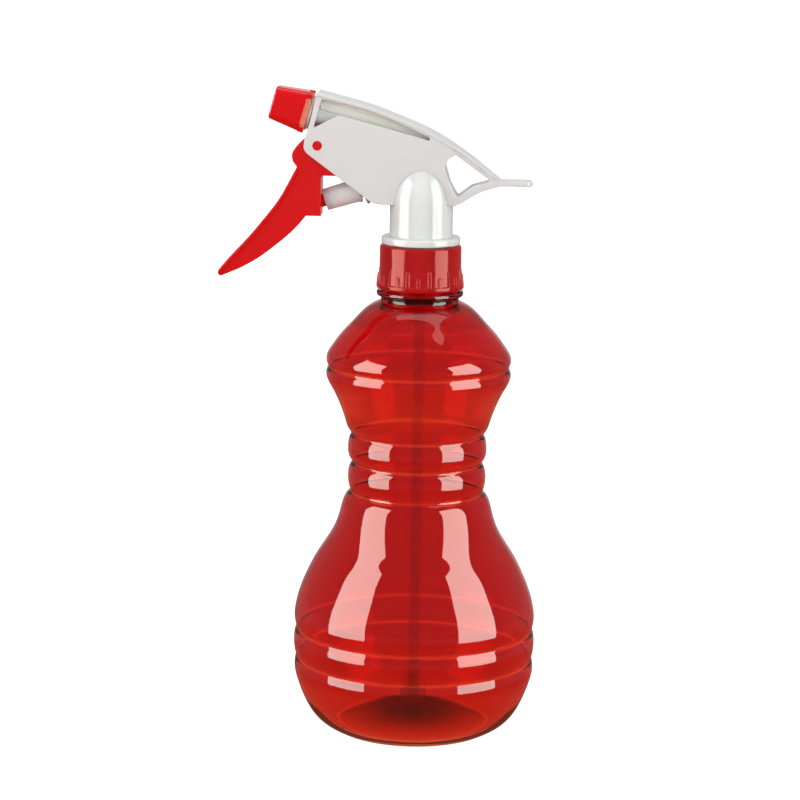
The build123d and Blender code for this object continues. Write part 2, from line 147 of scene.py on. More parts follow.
def plastic(name, colour, tint, roughness, scatter=0.0, scatter_colour=None, peel=0.00002,
            shine=0.5, shine_tint=(1, 1, 1)):
    """A moulded plastic: mottled a little, with fine orange peel and uneven gloss."""
    m = Nodes(name)
    mottle = m.ramp(m.noise(60, 2), [(0.0, colour), (1.0, tint)])
    m.join(mottle, "Base Color")
    gloss = m.ramp(m.noise(220, 2), [(0.0, (roughness,) * 3), (1.0, (roughness * 1.2,) * 3)])
    m.join(gloss, "Roughness")
    m.bump(m.noise(900, 2), peel)
    m.set(IOR=1.49, Specular_IOR_Level=shine, Specular_Tint=(*shine_tint, 1))
    if scatter:
        m.set(Subsurface_Weight=scatter, Subsurface_Radius=scatter_colour, Subsurface_Scale=0.004)
    return m.material


def clear_red():
    """Clear red PET: dark at the neck, where it is thick, with painted shade under the closure, and
    in the foot's middle, where it is thick; the creases carry painted highlights, and the foot and
    a band low on the bulb carry painted light seen through the plastic.
    """
    tall = 0.185
    crease_half = 0.9
    dark_r = 0.009
    clear_r = 0.029
    body = (0.60, 0.055, 0.050)
    # the colour of the painted highlight along each crease
    crease = (0.92, 0.26, 0.12)
    m = Nodes("clear_red_pet")
    height = m.add("ShaderNodeSeparateXYZ", {"Vector": m.place}).outputs["Z"]
    level = m.add("ShaderNodeMapRange", {"Value": height, "From Min": 0, "From Max": tall})
    # from the foot to the neck; the lighter orange at the foot and in the band low on the bulb is
    # painted light, the bright table seen through the plastic
    stops = [(0.00, (0.74, 0.100, 0.040)), (0.06, (0.62, 0.060, 0.035)), (0.14, body),
             (0.65, body), (0.685, (0.70, 0.110, 0.055)), (0.73, body),
             # from the shoulder's top up the neck the red darkens: partly the thick wall, partly
             # painted shade under the closure
             (0.885, (0.68, 0.045, 0.040)), (0.91, (0.40, 0.016, 0.018)),
             (1.00, (0.32, 0.010, 0.012))]
    # a lighter orange band at each crease is a painted highlight, the light caught by the rounded
    # crease
    for z in CREASE_Z:
        stops += [((z - crease_half) * MM / tall, body), (z * MM / tall, crease),
                  ((z + crease_half) * MM / tall, body)]
    colour = m.ramp(level.outputs[0], sorted(stops))
    flat = m.add("ShaderNodeVectorMath", {0: m.place, 1: (1, 1, 0)}, operation="MULTIPLY")
    radius = m.add("ShaderNodeVectorMath", {0: flat.outputs[0]}, operation="LENGTH")
    middle = m.add("ShaderNodeMapRange", {"Value": radius.outputs["Value"], "From Min": clear_r,
                                          "From Max": dark_r}, interpolation_type="SMOOTHSTEP")
    low = m.add("ShaderNodeMapRange", {"Value": height, "From Min": 0.014, "From Max": 0.011})
    both = m.add("ShaderNodeMath", {0: middle.outputs[0], 1: low.outputs[0]}, operation="MULTIPLY")
    mix = m.add("ShaderNodeMix", {"Factor": both.outputs[0]}, data_type="RGBA")
    m.tree.links.new(colour, mix.inputs["A"])
    mix.inputs["B"].default_value = (0.03, 0.001, 0.002, 1)
    m.join(mix.outputs["Result"], "Base Color")
    m.bump(m.noise(38, 2, (1, 1, 0.35)), 0.00025, 0.25)
    m.set(Transmission_Weight=1.0, Roughness=0.02, IOR=1.57, Specular_Tint=(0.80, 1.0, 0.98, 1))
    return m.material


def milky():
    """Natural polyethylene, white but letting light in."""
    m = Nodes("natural_pe")
    m.join(m.ramp(m.noise(90, 2), [(0.3, (0.90, 0.90, 0.88)), (0.7, (0.95, 0.95, 0.93))]),
           "Base Color")
    m.bump(m.noise(700, 2), 0.00002)
    m.set(Roughness=0.3, IOR=1.51, Subsurface_Weight=1.0, Subsurface_Radius=(1.0, 0.8, 0.7),
          Subsurface_Scale=0.006)
    return m.material


def clear_tube():
    """The dip tube's polyethylene, thin enough to see through dimly."""
    m = Nodes("clear_tube")
    m.join(m.ramp(m.noise(120, 2), [(0.3, (0.50, 0.51, 0.50)), (0.7, (0.60, 0.61, 0.59))]),
           "Base Color")
    m.set(Alpha=0.13, Roughness=0.35, IOR=1.45)
    return m.material


def steel(name, roughness):
    """Drawn or polished steel, with fine lines across."""
    m = Nodes(name)
    m.join(m.ramp(m.noise(500, 3), [(0.3, (0.42, 0.41, 0.40)), (0.7, (0.60, 0.59, 0.58))]),
           "Base Color")
    m.bump(m.noise(2500, 2, (1, 1, 6)), 0.000008)
    m.set(Metallic=1.0, Roughness=roughness)
    return m.material


def rubber():
    """Black rubber, dull and finely grained."""
    m = Nodes("rubber_seal")
    m.join(m.ramp(m.noise(400, 3), [(0.3, (0.012, 0.012, 0.013)), (0.7, (0.03, 0.03, 0.032))]),
           "Base Color")
    m.bump(m.noise(2200, 2), 0.00002)
    m.set(Roughness=0.55)
    return m.material


def foam():
    """Closed-cell foam."""
    m = Nodes("foam_liner")
    cells = m.add("ShaderNodeTexVoronoi", {"Vector": m.place, "Scale": 1800}).outputs["Distance"]
    m.join(m.ramp(cells, [(0.0, (0.70, 0.70, 0.67)), (0.6, (0.86, 0.86, 0.83))]), "Base Color")
    m.bump(cells, 0.0001)
    m.set(Roughness=0.85)
    return m.material


def clear_glass():
    """Slightly green glass."""
    m = Nodes("glass_ball")
    m.join(m.ramp(m.noise(300, 2), [(0.3, (0.90, 0.95, 0.93)), (0.7, (0.96, 0.98, 0.97))]),
           "Base Color")
    m.set(Transmission_Weight=1.0, Roughness=0.02, IOR=1.52)
    return m.material


RED_SCATTER = (1.0, 0.08, 0.05)
WHITE_SCATTER = (1.0, 0.75, 0.65)
materials = {
    "clear_red_pet": clear_red(),
    "closure_red": plastic("closure_red", (0.46, 0.009, 0.011), (0.54, 0.012, 0.013), 0.09,
                           0.15, RED_SCATTER, shine_tint=(1.0, 0.52, 0.46)),
    "red_pp": plastic("red_pp", (0.74, 0.003, 0.005), (0.78, 0.004, 0.006), 0.20,
                      0.2, RED_SCATTER, shine=0.25),
    "nozzle_red": plastic("nozzle_red", (0.72, 0.004, 0.006), (0.77, 0.006, 0.008), 0.10,
                          0.25, RED_SCATTER),
    "white_pp": plastic("white_pp", (0.79, 0.805, 0.785), (0.83, 0.845, 0.825), 0.27,
                        0.2, WHITE_SCATTER),
    "stem_white": plastic("stem_white", (0.76, 0.79, 0.77), (0.80, 0.83, 0.81), 0.10,
                          0.5, WHITE_SCATTER, peel=0.000008),
    # a lighter, warmer copy of the cover's white for the recessed web: painted light, standing for
    # light that comes through the thin plastic into the shaded recess
    "white_painted_lit": plastic("white_painted_lit", (0.95, 0.92, 0.81), (0.98, 0.95, 0.85), 0.35,
                          0.6, WHITE_SCATTER),
    # white plastic tinted pink: painted red light from the red cap around it
    "spigot_painted_red_light": plastic("spigot_painted_red_light", (0.86, 0.66, 0.60), (0.90, 0.72, 0.66), 0.2,
                            0.6, WHITE_SCATTER),
    # a lighter, orange copy of the nozzle's red: painted backlight through the thin red plastic
    "nozzle_painted_backlit": plastic("nozzle_painted_backlit", (0.82, 0.24, 0.14), (0.86, 0.28, 0.17), 0.25,
                           0.6, RED_SCATTER),
    "natural_pe": milky(),
    "clear_tube": clear_tube(),
    "spring_steel": steel("spring_steel", 0.28),
    "steel_ball": steel("steel_ball", 0.12),
    "rubber_seal": rubber(),
    "foam_liner": foam(),
    "glass_ball": clear_glass(),
}


# ---------------------------------------------------------------- mesh helpers
def finish_piece(piece, material, body, replaced):
    """Gives a new piece its material, its body and the CAD node it stands for."""
    piece.data.materials.clear()
    piece.data.materials.append(materials[material])
    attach(piece, body)
    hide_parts(replaced)
    return piece


def new_object(name, mesh):
    piece = bpy.data.objects.new(name, mesh)
    bpy.context.scene.collection.objects.link(piece)
    return piece


def natural_spline(points, step):
    """Points about step apart on the smooth curve through the given (r, z) points."""
    n = len(points)
    if n == 2:
        return [points[0], points[1]]
    knots = [0.0]
    for a, b in zip(points, points[1:]):
        knots.append(knots[-1] + math.dist(a, b))
    spans = [b - a for a, b in zip(knots, knots[1:])]
    curves = []
    for axis in (0, 1):
        values = [p[axis] for p in points]
        bends = [0.0] * n
        lead = [0.0] * n
        for i in range(1, n - 1):
            ahead = (values[i + 1] - values[i]) / spans[i]
            behind = (values[i] - values[i - 1]) / spans[i - 1]
            pivot = 2 * (spans[i - 1] + spans[i]) - spans[i - 1] * lead[i - 1]
            lead[i] = spans[i] / pivot
            bends[i] = (6 * (ahead - behind) - spans[i - 1] * bends[i - 1]) / pivot
        for i in range(n - 2, 0, -1):
            bends[i] -= lead[i] * bends[i + 1]
        curves.append((values, bends))
    result = []
    for i, span in enumerate(spans):
        count = max(1, round(span / step))
        for k in range(count):
            b = k / count
            a = 1 - b
            place = []
            for values, bends in curves:
                bow = ((a ** 3 - a) * bends[i] + (b ** 3 - b) * bends[i + 1]) * span * span / 6
                place.append(a * values[i] + b * values[i + 1] + bow)
            result.append(tuple(place))
    result.append(points[-1])
    return result


def even(points, step):
    """The same line with its points an even step apart."""
    total = sum(math.dist(a, b) for a, b in zip(points, points[1:]))
    count = max(1, round(total / step))
    result = [points[0]]
    wanted = total / count
    walked = 0.0
    for a, b in zip(points, points[1:]):
        length = math.dist(a, b)
        while len(result) < count and walked + length >= wanted * len(result):
            t = (wanted * len(result) - walked) / length
            result.append((a[0] + t * (b[0] - a[0]), a[1] + t * (b[1] - a[1])))
        walked += length
    result.append(points[-1])
    return result


def soften(points, rounds):
    """Rounds a line's creases; its ends stay."""
    for _ in range(rounds):
        inner = []
        for a, b, c in zip(points, points[1:], points[2:]):
            inner.append(((a[0] + 2 * b[0] + c[0]) / 4, (a[1] + 2 * b[1] + c[1]) / 4))
        points = [points[0]] + inner + [points[-1]]
    return points


def shifted(points, distance):
    """The line moved to its left-hand side by distance(z)."""
    result = []
    last = len(points) - 1
    for i, (r, z) in enumerate(points):
        a = points[max(i - 1, 0)]
        b = points[min(i + 1, last)]
        length = math.dist(a, b)
        d = distance(z)
        result.append((max(r - (b[1] - a[1]) / length * d, 0), z + (b[0] - a[0]) / length * d))
    return result


def turned(name, rings, steps, bulge=None):
    """A mesh turned about Z from a closed or axis-to-axis list of (r, z) in millimetres.

    bulge(angle, r, z) adds to the radius, for a thread.
    """
    mesh = bpy.data.meshes.new(name)
    bm = bmesh.new()
    rows = []
    for r, z in rings:
        if r < 1e-6:
            rows.append([bm.verts.new((0, 0, z * MM))])
            continue
        row = []
        for k in range(steps):
            angle = 2 * math.pi * k / steps
            out = r + (bulge(angle, r, z) if bulge else 0)
            place = (out * math.cos(angle) * MM, out * math.sin(angle) * MM, z * MM)
            row.append(bm.verts.new(place))
        rows.append(row)
    closed = rings[0][0] > 1e-6
    pairs = list(zip(rows, rows[1:]))
    if closed:
        pairs.append((rows[-1], rows[0]))
    for low, high in pairs:
        for k in range(steps):
            n = (k + 1) % steps
            if len(low) == 1:
                corners = (low[0], high[n], high[k])
            elif len(high) == 1:
                corners = (low[k], low[n], high[0])
            else:
                corners = (low[k], low[n], high[n], high[k])
            bm.faces.new(corners)
    bmesh.ops.recalc_face_normals(bm, faces=bm.faces)
    for face in bm.faces:
        face.smooth = True
    bm.to_mesh(mesh)
    bm.free()
    return mesh


def settled(piece, crease=40):
    """The piece as a plain mesh whose flat faces shade flat, beside smooth rounded edges."""
    mesh = piece.data
    bm = bmesh.new()
    bm.from_mesh(mesh)
    bmesh.ops.remove_doubles(bm, verts=bm.verts, dist=0.000002)
    bmesh.ops.dissolve_degenerate(bm, edges=bm.edges, dist=0.000001)
    for face in bm.faces:
        face.smooth = True
    limit = math.radians(crease)
    for edge in bm.edges:
        edge.smooth = edge.calc_face_angle(0) < limit
    bm.to_mesh(mesh)
    bm.free()
    weigh = piece.modifiers.new("normals", "WEIGHTED_NORMAL")
    weigh.keep_sharp = True
    return applied(piece)


def applied(piece):
    """The piece with its modifiers made part of its mesh."""
    bpy.context.view_layer.update()
    graph = bpy.context.evaluated_depsgraph_get()
    mesh = bpy.data.meshes.new_from_object(piece.evaluated_get(graph), depsgraph=graph)
    piece.modifiers.clear()
    piece.data = mesh
    return piece


def rounded_copy(node, name, radius, crease=30, segments=3):
    """A copy of a CAD node's mesh with the moulded, rounded edges of a real part."""
    mesh = bpy.data.meshes.new(name)
    bm = bmesh.new()
    bm.from_mesh(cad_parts[node].data)
    bmesh.ops.remove_doubles(bm, verts=bm.verts, dist=0.000005)
    bmesh.ops.dissolve_limit(bm, angle_limit=math.radians(0.6), verts=bm.verts, edges=bm.edges)
    limit = math.radians(crease)
    sharp = [e for e in bm.edges if len(e.link_faces) == 2 and e.calc_face_angle(0) > limit]
    bmesh.ops.bevel(bm, geom=sharp, offset=radius * MM, offset_type="OFFSET", segments=segments,
                    profile=0.5, affect="EDGES", clamp_overlap=False, harden_normals=False)
    bm.to_mesh(mesh)
    bm.free()
    return settled(new_object(name, mesh))


def closed_line(stretches, step=0.6):
    """A closed outline: each stretch is a smooth curve, and straight lines join the stretches."""
    line = []
    for stretch in stretches:
        if len(stretch) > 2:
            line += natural_spline(stretch, step)
        else:
            line += stretch
    return [p for p, q in zip(line, line[1:] + line[:1]) if math.dist(p, q) > 0.01]


def rounded_corners(points, radius, steps=4):
    """The closed outline with its corners rounded."""
    result = []
    count = len(points)
    for i, here in enumerate(points):
        corner = Vector(here)
        before = Vector(points[i - 1]) - corner
        after = Vector(points[(i + 1) % count]) - corner
        half = before.angle(after) / 2
        back = min(radius / math.tan(half), before.length * 0.45, after.length * 0.45)
        start = corner + before.normalized() * back
        end = corner + after.normalized() * back
        for k in range(steps + 1):
            t = k / steps
            result.append(tuple(start * (1 - t) ** 2 + corner * 2 * t * (1 - t) + end * t ** 2))
    return result


def prism(name, outlines, half, edge):
    """A flat piece across the head, with rounded edges; outlines after the first are its holes."""
    curve = bpy.data.curves.new(name, "CURVE")
    curve.dimensions = "2D"
    curve.fill_mode = "BOTH"
    curve.extrude = half - edge
    curve.bevel_depth = edge
    curve.offset = -edge
    curve.bevel_resolution = 2
    for points in outlines:
        spline = curve.splines.new("POLY")
        spline.points.add(len(points) - 1)
        for point, (x, z) in zip(spline.points, points):
            point.co = (x, z, 0, 1)
        spline.use_cyclic_u = True
    drawn = new_object(name + "_line", curve)
    bpy.context.view_layer.update()
    mesh = bpy.data.meshes.new_from_object(drawn)
    bpy.data.objects.remove(drawn)
    mesh.transform(Matrix.Scale(MM, 4) @ Matrix.Rotation(math.radians(90), 4, "X"))
    bm = bmesh.new()
    bm.from_mesh(mesh)
    bmesh.ops.remove_doubles(bm, verts=bm.verts, dist=0.000002)
    bmesh.ops.recalc_face_normals(bm, faces=bm.faces)
    bm.to_mesh(mesh)
    bm.free()
    return new_object(name, mesh)


def combined(piece, others, operation):
    """The piece with the other meshes cut away (DIFFERENCE) or joined on (UNION)."""
    for other in others:
        change = piece.modifiers.new("change", "BOOLEAN")
        change.operation = operation
        change.solver = "EXACT"
        change.object = other
        applied(piece)
        bpy.data.objects.remove(other)
    return piece


def round_bar(name, start, end, r_start, r_end=None, steps=48):
    """A bar of round section between two points in millimetres, closed at its ends."""
    mesh = bpy.data.meshes.new(name)
    bm = bmesh.new()
    along = Vector(end) - Vector(start)
    bmesh.ops.create_cone(bm, cap_ends=True, segments=steps, radius1=r_start,
                          radius2=r_start if r_end is None else r_end, depth=along.length)
    middle = (Vector(start) + Vector(end)) / 2
    turn = along.to_track_quat("Z", "Y").to_matrix().to_4x4()
    bm.to_mesh(mesh)
    bm.free()
    mesh.transform(Matrix.Scale(MM, 4) @ Matrix.Translation(middle) @ turn)
    return new_object(name, mesh)


# ---------------------------------------------------------------- bottle
def bottle_line():
    """The bottle's outside from the middle of its foot up to the shoulder, creases rounded."""
    push_up = [(0, 7.0), (12, 6.2), (21.5, 3.0), (28.0, 0)]
    foot = [(28.0, 0), (30.7, 0)]
    heel = [(30.7, 0), (37.1, 3.9), (42.15, 11.0), (45.2, 18.8), (46.3, 24.2), (45.75, 28.2)]
    lower_ring = [(45.75, 28.2), (46.35, 30.9), (46.6, 34.4), (46.4, 37.0), (45.65, 39.3)]
    body = [(45.65, 39.3), (46.4, 43.4), (46.1, 47.5), (44.6, 53.5), (41.8, 60.5), (38.2, 67.6),
            (33.6, 74.8), (30.4, 81.4), (28.7, 87.6), (27.1, 91.6), (25.4, 93.3)]
    waist_low = [(25.4, 93.3), (26.15, 95.9), (26.45, 99.2), (26.25, 101.7), (25.6, 103.5),
                 (24.7, 104.7)]
    waist_high = [(24.7, 104.7), (26.2, 107.2), (26.6, 110.4), (26.4, 112.9), (25.9, 114.6),
                  (25.2, 115.9)]
    bulb = [(25.2, 115.9), (26.7, 118.0), (27.9, 121.4), (30.0, 127.2), (32.7, 133), (34.9, 137.2),
            (35.3, 139.2), (34.4, 141.9)]
    shoulder = [(34.4, 141.9), (35.1, 143.5), (35.25, 145.2), (34.75, 146.9), (33.7, 148.6),
                (30.3, 153.4), (24.9, 159.4), (18.9, 165.2), (14.8, NECK_BOTTOM_Z)]
    line = []
    for stretch in (push_up, foot, heel, lower_ring, body, waist_low, waist_high, bulb, shoulder):
        line += natural_spline(stretch, 0.5)[:-1]
    line.append((14.8, NECK_BOTTOM_Z))
    return soften(even(line, 0.45), 1)


def neck_outside():
    """The support ring under the thread."""
    return [(14.8, 168.6), (15.1, 169.1), (15.9, 169.2), (16.35, 169.5), (16.5, 169.9),
            (16.5, 170.6), (16.35, 171.0), (16.0, 171.2), (12.8, 171.2), (12.5, 171.5)]


def thread_bulge(angle, r, z):
    """The helical ridge outside the neck, for the rows above the support ring."""
    ridge_half = 0.95
    ridge_flank = 0.5
    run_out = 0.05              # in turns, at each end of the ridge
    if r < NECK_WALL_R - 0.45 or z < 172:
        return 0
    height = 0.0
    for turn in (0, 1):
        along = angle / (2 * math.pi) + turn
        if along > THREAD_TURNS:
            continue
        off = abs(z - THREAD_START_Z - THREAD_PITCH * along)
        rise = min(1, max(0, (ridge_half - off) / ridge_flank))
        fade = min(1, along / run_out, (THREAD_TURNS - along) / run_out)
        height = max(height, rise * fade)
    smooth = height * height * (3 - 2 * height)
    return smooth * (THREAD_CREST_R - NECK_WALL_R)


def wall_at(z):
    """The wall's thickness, which grows towards the foot and towards the neck."""
    return WALL + 0.5 * max(0, 1 - z / 12) + 1.2 * max(0, (z - 158) / 9)


def bottle():
    """The bottle's shell: up the outside, over the lip and down the inside."""
    outside = bottle_line()
    inside = shifted(outside, wall_at)
    inside = soften(inside, 6)
    inside[0] = (0, inside[0][1])
    thread_rows = [(NECK_WALL_R, 171.8 + 0.3 * k) for k in range(42)]
    lip_out = [(NECK_WALL_R, NECK_TOP_Z - 0.4), (NECK_WALL_R - 0.15, NECK_TOP_Z - 0.1),
               (NECK_WALL_R - 0.4, NECK_TOP_Z)]
    lip_in = [(NECK_BORE_R + 0.3, NECK_TOP_Z), (NECK_BORE_R, NECK_TOP_Z - 0.3),
              (NECK_BORE_R, 170), (11.3, 168.2)]
    rings = outside + neck_outside() + thread_rows + lip_out + lip_in
    rings += [p for p in reversed(inside) if p[1] < 166.8 or p[0] < 10]
    piece = new_object("bottle_shell", turned("bottle_shell", rings, 192, thread_bulge))
    return finish_piece(piece, "clear_red_pet", "bottle", "bottle")


bottle()

# ---------------------------------------------------------------- closure
RIB_COUNT = 24
RIB_HALF = 0.75
RIB_BOTTOM_Z = 173.9
RIB_TOPS = (177.8, 180.2)   # short and long ribs by turns
RIB_FOOT_R = 16.6
RIB_FLANK = 0.28
CLOSURE_BORE_R = 14.25
CLOSURE_THREAD_Z = 175.6
CLOSURE_THREAD_TURNS = 1.5
CLOSURE_THREAD_HALF = 0.75
CLOSURE_THREAD_DEEP = 0.4


def closure_bulge(angle, r, z):
    """The grip ribs outside, with round tops, and the thread inside."""
    if r < CLOSURE_BORE_R + 0.05 and 173.5 < z < 184:
        along = angle / (2 * math.pi)
        height = 0.0
        for turn in (0, 1):
            off = abs(z - CLOSURE_THREAD_Z - THREAD_PITCH * (along + turn))
            if along + turn < CLOSURE_THREAD_TURNS:
                height = max(height, min(1, max(0, (CLOSURE_THREAD_HALF - off) / 0.4)))
        return -CLOSURE_THREAD_DEEP * height
    if r < 15.3 or not RIB_BOTTOM_Z - 0.1 < z < 181:
        return 0
    pitch = 2 * math.pi / RIB_COUNT
    k = round(angle / pitch)
    across = abs(angle - k * pitch) * r
    top = RIB_TOPS[k % 2] - RIB_HALF
    over = max(z - top, 0)
    inside = RIB_HALF - math.hypot(across, over)
    rise = min(1, max(0, inside / RIB_FLANK))
    envelope = RIB_FOOT_R - 0.8 * (z - RIB_BOTTOM_Z) / 7.1
    return max(0, envelope - r) * rise * rise * (3 - 2 * rise)


def closure():
    """The closure's shell: over its top, down the ribbed skirt and up the threaded bore."""
    skirt_top_z = 181.0
    skirt_foot_z = 174.2
    rings = [(11.95, 187.35), (11.95, 188.45), (12.1, 188.6), (14.7, 188.6), (15.0, 188.52),
             (15.25, 188.3), (15.42, 188.0), (15.5, 187.7), (15.51, 186.5), (15.53, 183.5)]
    rows = 64
    for k in range(rows + 1):
        z = skirt_top_z - (skirt_top_z - skirt_foot_z) * k / rows
        rings.append((15.55 + 0.4 * max(0, (180.4 - z) / 6.2), z))
    rings += [(16.1, 174.1), (16.45, 174.0), (16.6, 173.85), (16.65, 173.6), (16.65, 172.6),
              (16.55, 172.35), (16.3, 172.2), (14.6, 172.2), (14.35, 172.4),
              (CLOSURE_BORE_R, 172.8)]
    rows = 56
    for k in range(rows + 1):
        rings.append((CLOSURE_BORE_R, 173.4 + 11.0 * k / rows))
    rings += [(CLOSURE_BORE_R, 187.2), (14.1, 187.35)]
    piece = new_object("closure_shell", turned("closure_shell", rings, 720, closure_bulge))
    return finish_piece(piece, "closure_red", "closure", "closure")


closure()

# ---------------------------------------------------------------- head
PLATE_Y = 7.3               # half widths, at the front and at the tail
PLATE_TAIL_Y = 4.3
STRIP_Y = 7.7
STRIP_TAIL_Y = 4.7
INSIDE_Y = 5.95
WEB_Y = 3.0
ROOF_T = 1.6
TAIL_X = 41.9
TOP_LINE = [(-39.2, 245.7), (-28.7, 243.1), (-18.3, 240.2), (-8.7, 236.7), (-1.9, 234.0),
            (4.8, 230.9), (11.6, 226.9), (18.4, 222.4), (25.3, 217.1), (29.6, 213.6)]
PIVOT = (-39.2, 225.8)
DOME_Z = 204.2
DOME_TALL = 17.3
DOME_SIDE_R = 20.0
STEM_R = 12.0
TAPER_X = (9, 24)           # between these, the shroud narrows towards the tail
TAIL_ROUND = 3.4
PIN_R = 1.8
BARREL_ROOM_R = 3.55


def tapered(piece, front_half, tail_half):
    """Narrows a piece of the shroud towards the tail, and rounds the tail's end from above."""
    bm = bmesh.new()
    bm.from_mesh(piece.data)
    first, last = TAPER_X
    cuts = [first, last] + [TAIL_X - TAIL_ROUND * math.cos(math.radians(15 * k)) for k in range(6)]
    for x in cuts:
        bmesh.ops.bisect_plane(bm, geom=bm.verts[:] + bm.edges[:] + bm.faces[:],
                               plane_co=(x * MM, 0, 0), plane_no=(1, 0, 0))
    bm.to_mesh(piece.data)
    bm.free()
    for vertex in piece.data.vertices:
        x = vertex.co.x / MM
        share = min(1, max(0, (x - first) / (last - first)))
        half = front_half + (tail_half - front_half) * share
        end = min(1, max(0, (x - TAIL_X + TAIL_ROUND) / TAIL_ROUND))
        half *= math.sqrt(max(0.12, 1 - 0.85 * end ** 2))
        vertex.co.y *= half / front_half
    return piece


def along_nozzle(t, across=0.0):
    """The point at distance t along the nozzle's axis, in millimetres."""
    return (NOZZLE_ROOT[0] - t * math.cos(NOZZLE_TILT), across,
            NOZZLE_ROOT[1] + t * math.sin(NOZZLE_TILT))


def along_pump(s):
    """The point at distance s along the pump's bore from the piston's face, in millimetres."""
    return (PISTON_FACE[0] + s * math.cos(PUMP_TILT), 0, PISTON_FACE[1] + s * math.sin(PUMP_TILT))


def dome_room():
    """The room in the shroud for the dome and the stem."""
    gap = 0.1
    wide = DOME_SIDE_R - STEM_R
    short = DOME_SIDE_R - DOME_TALL
    top_centre = (wide * wide - short * short) / (2 * short)
    turn = math.atan2(top_centre, wide)
    rings = [(0, 195), (STEM_R + gap, 195)]
    for k in range(13):
        angle = turn * k / 12
        rings.append(((DOME_SIDE_R + gap) * math.cos(angle) - wide,
                      DOME_Z + (DOME_SIDE_R + gap) * math.sin(angle)))
    top_r = DOME_TALL + gap - top_centre
    for k in range(1, 8):
        angle = turn + (math.pi / 2 - turn) * k / 8
        rings.append((top_r * math.cos(angle), DOME_Z + top_centre + top_r * math.sin(angle)))
    rings.append((0, DOME_Z + DOME_TALL + gap))
    return new_object("dome_room", turned("dome_room", rings, 96))


def shroud():
    """The white cover with its top strip, and the web that shows in its window."""
    outside = closed_line([
        [(-39.7, 244.9)], TOP_LINE,
        [(TAIL_X - 0.8, 213.5), (TAIL_X, 212.6), (TAIL_X - 0.8, 211.7)],
        [(29.5, 211.7), (25.5, 210.5), (20.5, 208.4), (16.2, 205.8), (12.9, 204.1)],
        [(-15.2, 204.1), (-17.8, 204.6), (-20.5, 206.2)],
        [(-42.9, 222.6), (-44.1, 224.2), (-44.3, 225.6), (-44.1, 227.4), (-42.7, 231.9)]])
    loop = rounded_corners([(12.6, 223.4), (9.9, 221.7), (8.7, 218.5), (10.8, 212.0), (13.6, 207.2),
                            (18.8, 211.2), (26.1, 213.5)], 0.8)
    window = rounded_corners(closed_line([
        [(2.9, 229.7), (-2.1, 231.9), (-7.5, 234.3), (-17.6, 238.2), (-27.6, 241.1),
         (-37.8, 243.2)],
        [(-40.7, 232.4)], [(-31.2, 237.4)], [(-2.8, 230.1)], [(2.9, 228.5)]], 3), 0.5, 3)
    cover = prism("shroud_cover", [outside, loop, window], PLATE_Y, 0.35)
    roof = [(x, z - ROOF_T) for x, z in TOP_LINE[1:6]]
    inside = closed_line([roof, [(7.4, 227.6)], [(7.1, 221.7)], [(6.9, 218.4)], [(8.9, 211.4)],
                          [(11.6, 204.1)], [(11.6, 200)], [(-50, 200)], [(-50, 229)],
                          [(-41.0, 231.9)], [(-38.0, 244.1)]], 2)
    combined(cover, [
        prism("inside", [inside], INSIDE_Y, 0.0),
        dome_room(),
        round_bar("pin_room", (PIVOT[0], -12, PIVOT[1]), (PIVOT[0], 12, PIVOT[1]), PIN_R + 0.05)],
        "DIFFERENCE")
    tapered(cover, PLATE_Y, PLATE_TAIL_Y)
    below = [(x, z - 1.4) for x, z in reversed(TOP_LINE[:-1])]
    strip = prism("strip", [closed_line([[(-39.7, 244.9)], TOP_LINE, below, [(-39.5, 243.9)]])],
                  STRIP_Y, 0.3)
    tapered(strip, STRIP_Y, STRIP_TAIL_Y)
    combined(cover, [strip], "UNION")
    settled(cover)
    finish_piece(cover, "white_pp", "head", "shroud")
    web = prism("shroud_web", [[(-38.4, 243.0), (-28, 241.4), (-18, 238.5), (-8, 234.7), (3, 229.7),
                                (3, 226.2), (-38.4, 239.3)]], WEB_Y, 0.2)
    combined(web, [round_bar("barrel_room", along_nozzle(-50), along_nozzle(-2), BARREL_ROOM_R)],
             "DIFFERENCE")
    # the web wears the copy of the white with the painted light
    finish_piece(settled(web), "white_painted_lit", "head", "shroud")


shroud()
stem = rounded_copy("pump_body", "pump_stem", 0.3)
finish_piece(stem, "stem_white", "head", "pump_body")


# ---------------------------------------------------------------- trigger
LEVER_FRONT = [(-46.9, 217.5), (-49.9, 211.7), (-53.5, 205.4), (-58.3, 198.8), (-63.5, 192.3),
               (-68.8, 186.3), (-74.1, 180.5), (-76.3, 177.9)]
LEVER_TIP = [(-76.6, 176.6), (-76.0, 175.7), (-74.4, 176.0)]
LEVER_BACK = [(-68.8, 178.4), (-61.9, 182.3), (-55.6, 187.0), (-49.7, 192.0), (-45.5, 196.4),
              (-43.3, 199.1)]
LEVER_Y = 5.6
LEVER_WALL = 1.5


